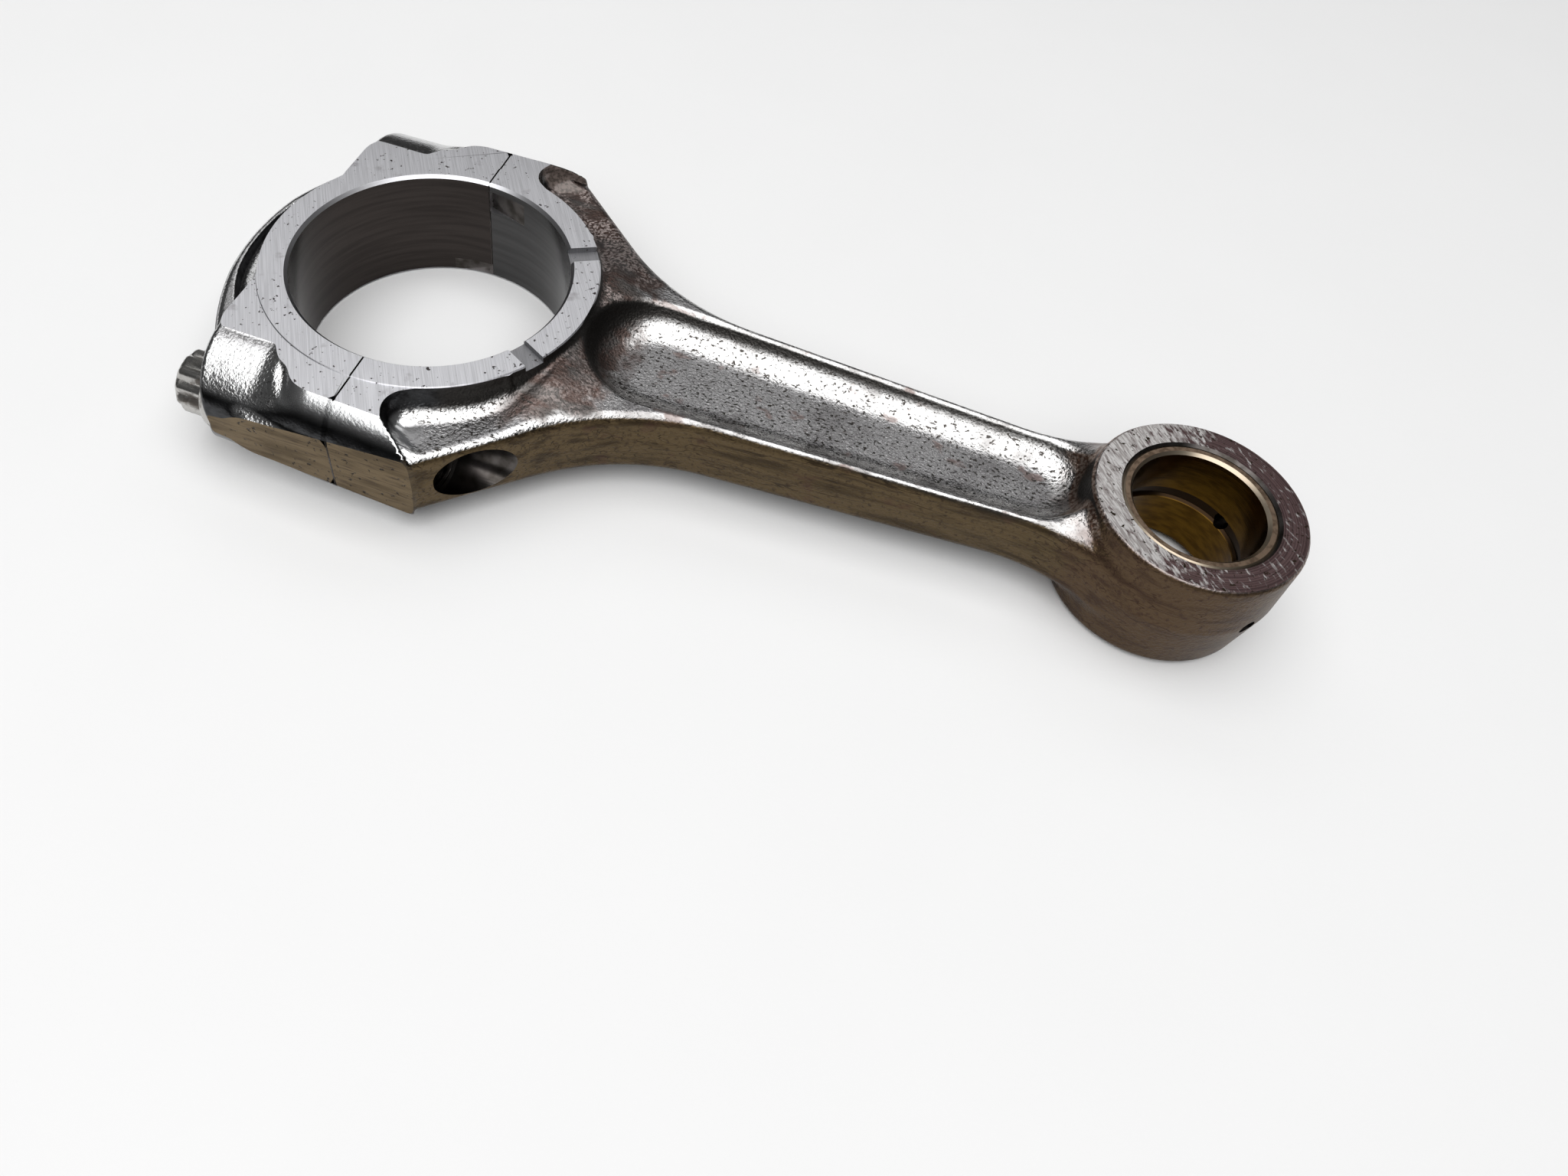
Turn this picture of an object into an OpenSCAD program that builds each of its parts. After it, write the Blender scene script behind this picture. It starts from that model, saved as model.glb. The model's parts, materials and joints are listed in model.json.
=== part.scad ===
// Forged steel connecting rod with a bolted big-end cap.
// Origin: centre of the big-end bore, at mid-width.
// +X runs along the beam to the small end, +Z along both bores. The cap is on the -X side.

/* [Bores] */
// Distance between the big-end and the small-end bore centres
centre_distance = 124; // [120:1:130]
// Radius of the big-end bore, the seat of the crankpin bearing shells
big_bore_r = 22.5; // [22:0.1:23]
// Radius of the hole through the bush, where the piston pin runs
pin_bore_r = 10; // [9.5:0.1:10.2]
// Chamfer at both ends of the big-end bore
bore_chamfer = 0.5; // [0.2:0.1:0.8]

/* [Big end] */
// Width across the two thrust faces
big_width = 20.3; // [20:0.1:21]
// Outer radius of the raised thrust ring
thrust_r = 27.3; // [26.5:0.1:28]
// Height of the thrust ring above the shoulder faces
thrust_step = 0.2; // [0.1:0.05:0.4]
// Width across the two flat side faces
big_span = 72.6; // [72:0.1:73.4]
// Distance between the two bolt axes
bolt_spacing = 58.8; // [58.4:0.1:59.2]
// Width across the machined shoulder faces at the parting plane
face_span = 64; // [62:0.5:66]
// Radius of the round shoulder around each bolt, at the parting plane
shoulder_r = 12.2; // [12:0.1:12.6]
// Radius of the same shoulder at the bolt head
shoulder_tip_r = 10.6; // [10:0.1:11]
// Distance from the parting plane to the knee, where the sloping flank starts
knee_x = 13.3; // [12:0.1:14]
// Angle of the sloping flank, measured from the beam
flank_angle = 43.3; // [42:0.1:45]
// Radius that blends the flank into the beam
flank_blend_r = 40; // [36:1:44]

/* [Beam] */
// Half width of the beam where the flank blend ends
beam_root_w = 12.3; // [11.8:0.1:12.8]
// Half width of the beam where it starts to widen into the small-end eye
beam_tip_w = 9.8; // [9.4:0.1:10.2]
// Half height of the beam flanges near the big end
flange_root_h = 6.1; // [5.6:0.1:6.6]
// Half height of the beam flanges near the small end
flange_tip_h = 5.2; // [4.8:0.1:5.6]
// Thickness of the web between the two pockets
web = 3.8; // [3:0.1:5]

/* [Small end] */
// Outer radius of the small-end eye at its two faces
eye_face_r = 15.5; // [15:0.1:16]
// Outer radius of the small-end eye at mid-width, on the forging's parting line
eye_r = 16.9; // [16:0.1:17.4]
// Width of the small-end eye
eye_width = 19.2; // [18.8:0.1:19.6]
// Wall thickness of the bush
bush_wall = 1.5; // [1.2:0.1:1.8]
// How far each end of the bush sits below the face of the eye
bush_recess = 0.3; // [0.1:0.1:0.6]

/* [Cap] */
// Distance from the parting plane to the seats of the bolt heads
cap_depth = 20.5; // [20:0.1:21]
// Outer radius of the rib over the crown
crown_r = 33.5; // [33:0.1:34.5]
// Half height of the crown's rib
crown_h = 5.6; // [5:0.1:6]

/* [Bolts] */
// Radius of the bolt shank
bolt_r = 4; // [3.8:0.1:4.2]
// Radius of the bolt's collar
collar_r = 6.3; // [6:0.1:6.6]
// Thickness of the bolt's collar
collar_h = 2.3; // [1.8:0.1:2.6]
// Radius over the points of the twelve-point head
head_r = 5.1; // [4.8:0.1:5.4]
// Height of the twelve-point head above its collar
head_h = 4.9; // [4.4:0.1:5.4]
// Length of the bolt under its collar
bolt_length = 34; // [32:0.5:36]
// Outer radius of the dowel sleeves around the bolts at the parting plane
dowel_r = 5.4; // [5:0.1:5.6]
// Length of the dowel sleeves
dowel_length = 8; // [6:1:10]

/* [Hidden] */
$fn = 96;

// Big end
half_width = big_width / 2;
face_h = half_width - thrust_step;
half_face = face_span / 2;
half_span = big_span / 2;
bolt_y = bolt_spacing / 2;
shoulder_inset = 11;
shoulder_y = half_span - shoulder_inset;

// Shoulder faces in plan: where each starts to narrow, and its corners after that
rod_face_x = 6;
rod_face_tip = [21, 18.4];
rod_face = [[0, 0], [0, half_face], [rod_face_x, half_face], rod_face_tip, [thrust_r, 0]];
waist_start = [-5, half_face - 0.4];
waist_end = [-14, 25];
ear_x = 23.2;
ear_y = 23.7;
ear_corner = 2.2;
ear_inner_y = 12;
cap_face = [[0, 0], [0, half_face], waist_start, waist_end, [ear_corner - ear_x, ear_y],
            [-ear_x, ear_y - ear_corner], [-ear_x, ear_inner_y]];

// Slots and notches
slot_overrun = 1;
oil_slot_angle = 30;
oil_slot_w = 3.3;
oil_slot_depth = 1;
notch_length = 7;
notch_depth = 1.1;
rod_notch_z = 4.5;
rod_notch_width = 4.1;
cap_notch_z = 7.4;
cap_notch_width = 2.3;

// Flank and beam in plan: the flank line meets the beam's side at flank_corner, blended by an arc
beam_root_x = 52;
beam_tip_x = centre_distance - 26;
beam_slope = (beam_root_w - beam_tip_w) / (beam_tip_x - beam_root_x);
beam_angle = atan(beam_slope);
flank_corner_x = (half_span + knee_x * tan(flank_angle) - beam_root_w - beam_root_x * beam_slope)
    / (tan(flank_angle) - beam_slope);
flank_corner = [flank_corner_x, half_span - (flank_corner_x - knee_x) * tan(flank_angle)];
blend_length = flank_blend_r * tan((flank_angle - beam_angle) / 2);
flank_end = flank_corner - blend_length * [cos(flank_angle), -sin(flank_angle)];
beam_start = flank_corner + blend_length * [cos(beam_angle), -sin(beam_angle)];
flank_blend_centre = flank_end + flank_blend_r * [sin(flank_angle), cos(flank_angle)];

// Blend of the beam's side into the round eye
eye_blend_r = 30;
eye_blend_reach = eye_r + eye_blend_r;
eye_blend_x = centre_distance - sqrt(pow(eye_blend_reach, 2) - pow(beam_tip_w + eye_blend_r, 2));
eye_blend_end = [centre_distance - (centre_distance - eye_blend_x) * eye_r / eye_blend_reach,
                 (beam_tip_w + eye_blend_r) * eye_r / eye_blend_reach];

// Rises from the beam's flanges to the bosses
rise_h = 8.8;
big_rise_x = 42;
big_rise_r = 47;
small_rise_x = centre_distance - 21;
small_rise_r = 13;
big_rise_start = [15, 22];
big_rise_middle = [27, 15.5];
big_rise = [[big_rise_start[0], 0], big_rise_start, big_rise_middle, [big_rise_x, beam_root_w],
            [big_rise_x, 0]];
small_rise_end = [centre_distance, eye_face_r - 2];
small_rise = [[small_rise_x, 0], [small_rise_x, beam_tip_w], eye_blend_end, small_rise_end,
              [centre_distance, 0]];

// Scoops beside the shoulder faces: distances along and across the flank, from the knee
scoop_r = 3;
scoop_z = 8.6;
scoop_wall = 8.5;
scoop_start = 2;
scoop_length = 30;
scoop_tilt = 1.5;
scoop_overrun = 4;

// Beam pockets: centres of the end spheres
pocket_r = 7;
pocket_root = [34.6, 4.7];
pocket_tip = [centre_distance - 22.5, 2.6];

// Crown channel, bolts, dowels and oil holes
channel_r = 2.1;
channel_x = 29.3;
channel_y = 19.5;
seat_r = 6.6;
bush_r = pin_bore_r + bush_wall;
thread_gap = 0.1;
bolt_gap = 0.2;
exit_r = 4.6;
exit_x = 15;
tip_chamfer = 1;
collar_bevel = 0.8;
dowel_gap = 0.03;
groove_w = 2.4;
groove_depth = 0.5;
oil_hole_r = 1.3;
oil_hole_angle = 45;

// Mirrors its children to both sides of the rod.
module both_sides() {
    for (side = [0, 1]) {
        mirror([0, side, 0]) children();
    }
}

// Mirrors its children to both faces of the rod.
module both_faces() {
    for (face = [0, 1]) {
        mirror([0, 0, face]) children();
    }
}

// Plan outline of one side of the rod body, from the parting plane to the eye's centre.
module rod_outline() {
    polygon([[0, 0], [0, half_span], [knee_x, half_span], flank_corner,
             [beam_tip_x, beam_tip_w], [centre_distance, beam_tip_w], [centre_distance, 0]]);
    difference() {
        polygon([flank_end, flank_corner, beam_start]);
        translate(flank_blend_centre) circle(flank_blend_r, $fn = 200);
    }
    difference() {
        polygon([[eye_blend_x, beam_tip_w], eye_blend_end, [eye_blend_end[0], beam_tip_w]]);
        translate([eye_blend_x, beam_tip_w + eye_blend_r]) circle(eye_blend_r);
    }
}

// Beam and flanks, flange_root_h high at the big end and flange_tip_h at the small end.
module beam_plate() {
    intersection() {
        linear_extrude(big_width, center = true) both_sides() rod_outline();
        rotate([90, 0, 0])
            linear_extrude(big_span, center = true)
                polygon([[0, -flange_root_h], [beam_root_x, -flange_root_h],
                         [centre_distance, -flange_tip_h], [centre_distance, flange_tip_h],
                         [beam_root_x, flange_root_h], [0, flange_root_h]]);
    }
}

// Metal that rises from the beam to a bore's boss, ending in a concave blend across the beam.
module rise(outline, blend_x, base_h, blend_r) {
    difference() {
        linear_extrude(2 * rise_h, center = true) both_sides() polygon(outline);
        both_faces()
            translate([blend_x, 0, base_h + blend_r])
                rotate([90, 0, 0]) cylinder(r = blend_r, h = big_span, center = true, $fn = 200);
    }
}

// Round shoulder along a bolt axis, flat on its outer side and on both faces.
module shoulder(length, tip_r) {
    intersection() {
        translate([0, shoulder_y, 0])
            rotate([0, 90, 0]) cylinder(r1 = shoulder_r, r2 = tip_r, h = length);
        translate([0, 0, -face_h]) cube([length, half_span, 2 * face_h]);
    }
}

// Scoop between a shoulder face and the flank, open outwards and towards the beam.
module scoop() {
    inner = scoop_wall - scoop_r;
    width = inner + scoop_overrun;
    translate([knee_x, half_span, 0])
        rotate([0, 0, -flank_angle])
            translate([scoop_start, -inner, scoop_z])
                rotate([0, -scoop_tilt, 0]) {
                    sphere(scoop_r);
                    cylinder(r = scoop_r, h = half_width);
                    rotate([0, 90, 0]) cylinder(r = scoop_r, h = scoop_length);
                    translate([0, -scoop_r, 0]) cube([scoop_length, scoop_r, half_width]);
                    translate([0, 0, -scoop_r]) cube([scoop_length, width, half_width]);
                    rotate([-90, 0, 0]) cylinder(r = scoop_r, h = width);
                    translate([-scoop_r, 0, 0]) cube([scoop_r, width, half_width]);
                }
}

// Long round-ended pocket in one face of the beam.
module beam_pocket() {
    pocket_z = web / 2 + pocket_r;
    hull() both_sides() {
        translate([pocket_root[0], pocket_root[1], pocket_z]) sphere(pocket_r, $fn = 32);
        translate([pocket_tip[0], pocket_tip[1], pocket_z]) sphere(pocket_r, $fn = 32);
    }
}

// Big-end bore with a chamfer at each face.
module big_bore() {
    cylinder(r = big_bore_r, h = 2 * big_width, center = true, $fn = 200);
    both_faces()
        translate([0, 0, half_width - bore_chamfer])
            cylinder(r1 = big_bore_r, r2 = big_bore_r + 2 * bore_chamfer, h = 2 * bore_chamfer, $fn = 200);
}

// Straight hole along a bolt axis.
module bolt_hole(radius, from_x, to_x) {
    translate([from_x, bolt_y, 0]) rotate([0, 90, 0]) cylinder(r = radius, h = to_x - from_x);
}

// Notch in the bore wall that stops a bearing shell from turning, deepest at the parting plane.
module tang_notch(z, width) {
    end_y = sqrt(pow(big_bore_r, 2) - pow(notch_length, 2));
    inner_y = end_y - slot_overrun;
    translate([0, 0, z])
        linear_extrude(width)
            polygon([[-slot_overrun, inner_y], [-slot_overrun, big_bore_r + notch_depth],
                     [0, big_bore_r + notch_depth], [notch_length, end_y], [notch_length, inner_y]]);
}

// Oil slot across the thrust ring on both faces.
module oil_slot() {
    rotate([0, 0, oil_slot_angle])
        both_faces()
            translate([big_bore_r - slot_overrun, -oil_slot_w / 2, half_width - oil_slot_depth])
                cube([thrust_r - big_bore_r + 2 * slot_overrun, oil_slot_w, oil_slot_depth + slot_overrun]);
}

// Oil hole through the outer end of the small-end eye.
module oil_hole(angle) {
    translate([centre_distance, 0, 0])
        rotate([0, 90, angle]) cylinder(r = oil_hole_r, h = eye_r + 1);
}

// The half of a disc or block on one side of the parting plane.
module half_space(side) {
    translate([side > 0 ? 0 : -2 * half_span, -2 * half_span, -big_width])
        cube([2 * half_span, 4 * half_span, 2 * big_width]);
}

module rod_body() {
    color("silver")
        difference() {
            union() {
                beam_plate();
                linear_extrude(2 * face_h, center = true) both_sides() polygon(rod_face);
                intersection() {
                    cylinder(r = thrust_r, h = big_width, center = true);
                    half_space(1);
                }
                both_sides() shoulder(knee_x, shoulder_r);
                rise(big_rise, big_rise_x, flange_root_h, big_rise_r);
                rise(small_rise, small_rise_x, flange_tip_h, small_rise_r);
                both_faces() translate([centre_distance, 0, 0])
                    cylinder(r1 = eye_r, r2 = eye_face_r, h = eye_width / 2);
            }
            both_sides() both_faces() scoop();
            both_faces() beam_pocket();
            big_bore();
            both_sides() {
                bolt_hole(bolt_r + thread_gap, -1, 2 * knee_x);
                bolt_hole(exit_r, exit_x, 3 * knee_x);
                bolt_hole(dowel_r, -1, dowel_length / 2);
                oil_slot();
            }
            tang_notch(rod_notch_z, rod_notch_width);
            translate([centre_distance, 0, 0]) cylinder(r = bush_r, h = 2 * eye_width, center = true);
            for (angle = [-oil_hole_angle, oil_hole_angle]) {
                oil_hole(angle);
            }
        }
}

// Solid ring of the given outer radius and half height on the cap's side of the parting plane.
module cap_disc(radius, height) {
    intersection() {
        cylinder(r = radius, h = 2 * height, center = true, $fn = 200);
        half_space(-1);
    }
}

module big_end_cap() {
    color("silver")
        difference() {
            union() {
                linear_extrude(2 * face_h, center = true) both_sides() polygon(cap_face);
                cap_disc(thrust_r, half_width);
                cap_disc(crown_r, crown_h);
                both_sides() mirror([1, 0, 0]) shoulder(cap_depth, shoulder_tip_r);
            }
            both_faces()
                intersection() {
                    translate([0, 0, crown_h])
                        rotate_extrude($fn = 200) translate([channel_x, 0]) circle(channel_r);
                    translate([-2 * crown_r, -channel_y, 0])
                        cube([2 * crown_r - ear_x, 2 * channel_y, big_width]);
                }
            big_bore();
            both_sides() {
                bolt_hole(bolt_r + bolt_gap, -cap_depth - 1, 1);
                bolt_hole(seat_r, -2 * cap_depth, -cap_depth);
                bolt_hole(dowel_r + dowel_gap, -dowel_length / 2 - dowel_gap, 1);
            }
            mirror([1, 0, 0]) mirror([0, 0, 1]) tang_notch(cap_notch_z, cap_notch_width);
        }
}

module small_end_bush() {
    bush_h = eye_width - 2 * bush_recess;
    color("darkgoldenrod")
        translate([centre_distance, 0, 0])
            difference() {
                cylinder(r = bush_r, h = bush_h, center = true);
                cylinder(r = pin_bore_r, h = 2 * bush_h, center = true);
                rotate_extrude() translate([0, -groove_w / 2]) square([pin_bore_r + groove_depth, groove_w]);
                for (angle = [-oil_hole_angle, oil_hole_angle]) {
                    rotate([0, 90, angle]) cylinder(r = oil_hole_r, h = eye_r);
                }
            }
}

// Cap bolt: twelve-point head, collar and shank, along +X from the head.
module cap_bolt(side) {
    color("dimgray")
        translate([-cap_depth, side * bolt_y, 0])
            rotate([0, 90, 0]) {
                cylinder(r = bolt_r, h = bolt_length - tip_chamfer);
                translate([0, 0, bolt_length - tip_chamfer])
                    cylinder(r1 = bolt_r, r2 = bolt_r - tip_chamfer, h = tip_chamfer);
                translate([0, 0, -collar_h]) cylinder(r1 = collar_r - collar_bevel, r2 = collar_r, h = collar_h);
                for (turn = [0, 30]) {
                    rotate([0, 0, turn])
                        translate([0, 0, -collar_h - head_h]) cylinder(r = head_r, h = head_h, $fn = 6);
                }
            }
}

module cap_bolt_left() {
    cap_bolt(1);
}

module cap_bolt_right() {
    cap_bolt(-1);
}

// Hollow dowel around a bolt, half in the rod and half in the cap.
module dowel_sleeve(side) {
    color("gray")
        translate([0, side * bolt_y, 0])
            rotate([0, 90, 0])
                difference() {
                    cylinder(r = dowel_r, h = dowel_length, center = true);
                    cylinder(r = bolt_r + bolt_gap, h = 2 * dowel_length, center = true);
                }
}

module dowel_sleeve_left() {
    dowel_sleeve(1);
}

module dowel_sleeve_right() {
    dowel_sleeve(-1);
}

rod_body();
big_end_cap();
small_end_bush();
cap_bolt_left();
cap_bolt_right();
dowel_sleeve_left();
dowel_sleeve_right();
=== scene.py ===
import json
from math import cos, hypot, pi, radians, sin, sqrt

import bpy
import numpy as np
from mathutils import Matrix, Vector


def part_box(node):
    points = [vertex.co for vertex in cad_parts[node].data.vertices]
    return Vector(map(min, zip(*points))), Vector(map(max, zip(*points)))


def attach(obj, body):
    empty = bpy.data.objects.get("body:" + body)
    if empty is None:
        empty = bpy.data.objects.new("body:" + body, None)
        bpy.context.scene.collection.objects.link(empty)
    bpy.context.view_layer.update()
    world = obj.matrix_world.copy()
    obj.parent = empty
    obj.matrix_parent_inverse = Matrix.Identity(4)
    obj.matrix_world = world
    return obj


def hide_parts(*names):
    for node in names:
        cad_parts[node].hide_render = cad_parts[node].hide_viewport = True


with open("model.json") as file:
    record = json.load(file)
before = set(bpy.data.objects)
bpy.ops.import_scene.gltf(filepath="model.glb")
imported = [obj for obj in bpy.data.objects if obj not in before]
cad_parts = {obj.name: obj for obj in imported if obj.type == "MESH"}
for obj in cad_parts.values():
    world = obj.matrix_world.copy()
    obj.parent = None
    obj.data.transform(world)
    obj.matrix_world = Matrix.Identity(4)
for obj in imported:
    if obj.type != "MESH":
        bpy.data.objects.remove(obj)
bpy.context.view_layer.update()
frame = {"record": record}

scene = bpy.context.scene

# Lengths below are in millimetres and become metres when a mesh is made.
MM = 0.001


def box_mm(node):
    """Lowest and highest corner of a CAD node, in millimetres."""
    low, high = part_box(node)
    return np.array(low) / MM, np.array(high) / MM


mounts = {mount["name"]: mount for mount in frame["record"]["mounts"]}
_, rod_high = box_mm("rod_body")
cap_low, cap_high = box_mm("big_end_cap")
bush_low, bush_high = box_mm("small_end_bush")
bolt_low, bolt_high = box_mm("cap_bolt_left")
sleeve_low, sleeve_high = box_mm("dowel_sleeve_left")

# Sizes that the frame gives
HALF_WIDTH = rod_high[2]
HALF_SPAN = cap_high[1]
BIG_R = mounts["big_end_bore"]["dims"]["r_mm"]
PIN_R = mounts["piston_pin_bore"]["dims"]["r_mm"]
EYE_X = mounts["piston_pin_bore"]["pos_m"][0] / MM
EYE_R = rod_high[0] - EYE_X
CROWN_R = -cap_low[0]
BUSH_R = (bush_high[1] - bush_low[1]) / 2
BUSH_H = bush_high[2]
BOLT_Y = (bolt_high[1] + bolt_low[1]) / 2
COLLAR_R = (bolt_high[1] - bolt_low[1]) / 2
HEAD_END = bolt_low[0]
BOLT_TIP = bolt_high[0]
SLEEVE_R = (sleeve_high[1] - sleeve_low[1]) / 2
SLEEVE_END = sleeve_high[0]

# Big end
FACE_H = HALF_WIDTH - 0.2
THRUST_R = 27.3
BORE_CHAMFER = 0.5
SEAT_X = -20.5
SHOULDER_Y = 24.1
SHOULDER_REACH = 13.3
SHOULDER_H = 12.65
KNEE_X = 13.3
FLANK_ANGLE = radians(43.3)
FLANK_BLEND_R = 40.0

# Leans: millimetres across for each millimetre along
FORGING_DRAFT = 0.035
EYE_DRAFT = 0.09
STEEP_DRAFT = 0.1
SHOULDER_FLARE = 0.05
BOSS_SLOPE = 0.26
RIB_FALL = 0.09

# Metal left on the raw forging for the machined faces to cut
RAW_H = 11.5
RING_SPARE = 0.03
SIDE_SPARE = 0.8
SEAT_SPARE = 0.4
PARTING_SPARE = 0.9
EYE_FACE_SPARE = 0.25

# Scoops behind the rod's shoulders: a shallow trough along the edge, under a step with two straight legs
FACE_END_X = 21.4
SCOOP_INSET = 5.0
SCOOP_DEPTH = 0.55
SCOOP_R = 22.5
SCOOP_INNER_LEG = ((10, 25.3), (18.6, 19.4))
SCOOP_OUTER_LEG = ((6.5, 31.7), (12.5, 36.0))
SCOOP_LEG_COSINE = -0.341
SCOOP_CORNER_R = 3.9
SHOULDER_DIP = 1.5

# Saddles where the beam's top rises to the thrust ring and to the eye
SADDLE_REACH = 42.0
SADDLE_R = 47.0
SADDLE_RISE = 2.7
EYE_SADDLE_REACH = 23.5
EYE_SADDLE_R = 14.0
EYE_SADDLE_RISE = 4.2
EYE_SADDLE_OVAL = 0.8

# Cap: bolt bosses with a waist, ears beside the seats, crown rib, and the channel inside it
BOSS_H = 9.97
BOSS_TAPER = 0.9
WAIST_LINE = ((10.1, 28.0), (7.6, 35.0))
WAIST_WIDTH = 1.0
WAIST_DEPTH = 0.5
EAR_X = 23.2
EAR_Y = 24.5
CROWN_CENTRE_X = 12.6
CROWN_ARC_R = 45.4
RIB_H = 5.8
CHANNEL_ARC_R = 29.3
CHANNEL_AXIS_H = 5.9
CHANNEL_R = 2.2
CHANNEL_ANGLE = radians(29)

# Beam and eye
BEAM_ROOT_X = 52.0
BEAM_ROOT_W = 12.3
BEAM_TIP_X = EYE_X - 26
BEAM_TIP_W = 9.8
FLANGE_H = (6.1, 5.2)
RIM_R = 1.8
EYE_H = 9.6
EYE_CHAMFER = 0.4
EYE_BLEND_R = 30.0

# Pockets in the beam: places and radii of the flat floor's round ends
WEB_HALF = 1.9
POCKET_R = 7.0
POCKET_X = (39.2, EYE_X - 23.7)
FLOOR_R = (4.7, 2.5)

# Bolts: a twelve-point head on a collar, a waist and a thread
BOLT_R = 4.0
THREAD_PITCH = 1.0
THREAD_ROOT_R = 3.3
HEAD_R = 5.1
HEAD_ROOT_R = 4.45
COLLAR_X = SEAT_X - 2.3

# Holes, slots, notches and the parting groove; the groove's mouth and floor are places along X
TOOL_H = 12
EXIT_R = 4.6
EXIT_X = 15.0
SPOT_FACE_R = 6.6
DOWEL_GAP = 0.03
OIL_SLOT_ANGLE = radians(30)
OIL_SLOT_HALF = 1.65
OIL_SLOT_DEPTH = 1
NOTCH_LENGTH = 7.0
NOTCH_DEPTH = 1.3
ROD_NOTCH = (4.5, 8.6)
CAP_NOTCH = (-9.7, -7.4)
OIL_HOLE_R = 1.3
OIL_HOLE_ANGLE = radians(45)
GROOVE_DEPTH = 0.55
GROOVE_MOUTH = (-1.15, 0.3)
GROOVE_FLOOR = (-0.1, 0.1)
FINE_LINE = 0.15

# Grid on which the forgings are sampled
GRID_STEP = 0.45
GRID_HALF_Y = 38.5
GRID_HALF_Z = 12.4
CORNERS = [np.array([i, j, k]) for i in (0, 1) for j in (0, 1) for k in (0, 1)]
STEPS = np.eye(3, dtype=int)


# ------------------------ fields
# A field is negative inside the metal and close to the distance from its surface.

def rounded_union(a, b, radius, cosine=0.0):
    """Union of two fields with a radius in its hollow corner. cosine is that of their normals' angle."""
    u = radius - a
    v = radius - b
    along = u - cosine * v
    across = v - cosine * u
    reach = np.sqrt(np.maximum((along * u + across * v) / (1 - cosine * cosine), 0))
    return np.where((along > 0) & (across > 0), radius - reach, np.minimum(a, b))


def rounded_overlap(a, b, radius, cosine=0.0):
    """Overlap of two fields, its edge rounded to a radius."""
    return -rounded_union(-a, -b, radius, cosine)


def carve(body, tool, radius):
    """The body without the tool, its edge rounded to a radius."""
    return rounded_overlap(body, -tool, radius)


def fade(value, start, end):
    """Smooth step: 0 at start and 1 at end."""
    t = np.clip((value - start) / (end - start), 0, 1)
    return t * t * (3 - 2 * t)


def fill_corner(field, x, y, centre, radius, first, second):
    """Fills a hollow corner of a plan outline with an arc that runs from direction first to second."""
    dx = x - centre[0]
    dy = y - centre[1]
    in_sector = (first[0] * dy > first[1] * dx) & (second[1] * dx > second[0] * dy)
    return np.where(in_sector, radius - np.hypot(dx, dy), field)


def line_field(x, y, start, end):
    """Distance from a line in plan, positive on its left."""
    dx = end[0] - start[0]
    dy = end[1] - start[1]
    return ((y - start[1]) * dx - (x - start[0]) * dy) / hypot(dx, dy)


SLOPE = (BEAM_ROOT_W - BEAM_TIP_W) / (BEAM_TIP_X - BEAM_ROOT_X)
SIDE_NORMAL = np.array([SLOPE, 1.0]) / hypot(SLOPE, 1)
FLANK_NORMAL = np.array([sin(FLANK_ANGLE), cos(FLANK_ANGLE)])
KNEE = np.array([KNEE_X, HALF_SPAN])
BEAM_TIP = np.array([BEAM_TIP_X, BEAM_TIP_W])


def flank_arc_centre():
    """Centre of the arc that blends the flank into the beam's side."""
    normals = np.array([FLANK_NORMAL, SIDE_NORMAL])
    reach = np.array([FLANK_NORMAL @ KNEE, SIDE_NORMAL @ BEAM_TIP]) + FLANK_BLEND_R
    return np.linalg.solve(normals, reach)


FLANK_ARC = flank_arc_centre()
EYE_ARC_Y = BEAM_TIP_W + EYE_BLEND_R
EYE_ARC = np.array([EYE_X - sqrt((EYE_R + EYE_BLEND_R) ** 2 - EYE_ARC_Y ** 2), EYE_ARC_Y])


def rod_plan(x, y):
    """Plan outline of the rod without its machined side flats."""
    side = (x - BEAM_TIP[0]) * SIDE_NORMAL[0] + (y - BEAM_TIP[1]) * SIDE_NORMAL[1]
    side = np.where(x > BEAM_TIP_X, y - BEAM_TIP_W, side)
    flank = (x - KNEE[0]) * FLANK_NORMAL[0] + (y - KNEE[1]) * FLANK_NORMAL[1]
    plan = np.minimum(side, flank)
    plan = fill_corner(plan, x, y, FLANK_ARC, FLANK_BLEND_R, -FLANK_NORMAL, -SIDE_NORMAL)
    eye = np.hypot(x - EYE_X, y) - EYE_R
    plan = np.minimum(np.maximum(plan, x - EYE_X), eye)
    to_eye = np.array([EYE_X, 0]) - EYE_ARC
    return fill_corner(plan, x, y, EYE_ARC, EYE_BLEND_R, (0, -1), to_eye)


def flange_height(x):
    """Half height of the beam's flanges."""
    return np.interp(x, (BEAM_ROOT_X, EYE_X), FLANGE_H)


def hollow_rise(distance, reach, radius, top):
    """Height gained over a run that starts level at `reach` and curves up towards 0."""
    run = np.clip(reach - distance, 0, radius)
    return np.minimum(radius - np.sqrt(radius * radius - run * run), top)


def top_height(x, y, plan):
    """Height of the forging's top surface around the beam, the scoops and both saddles."""
    saddle = hollow_rise(x, SADDLE_REACH, SADDLE_R, SADDLE_RISE) * fade(x, 18.5, 29.0) * fade(plan, 0, -8.5)
    from_trough = np.clip(plan + SCOOP_INSET, -SCOOP_INSET, SCOOP_INSET)
    scoop = (SCOOP_DEPTH - from_trough ** 2 / (2 * SCOOP_R)) * fade(x, 30, 21)
    to_eye = np.hypot(EYE_X - x, y * EYE_SADDLE_OVAL)
    eye_rise = hollow_rise(to_eye, EYE_SADDLE_REACH, EYE_SADDLE_R, EYE_SADDLE_RISE) * fade(plan, 0, -5)
    below_shoulder = SHOULDER_DIP * fade(x, 12.5, 7.5) * fade(y, 32, 35)
    return flange_height(x) + saddle - scoop - below_shoulder + eye_rise


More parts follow.
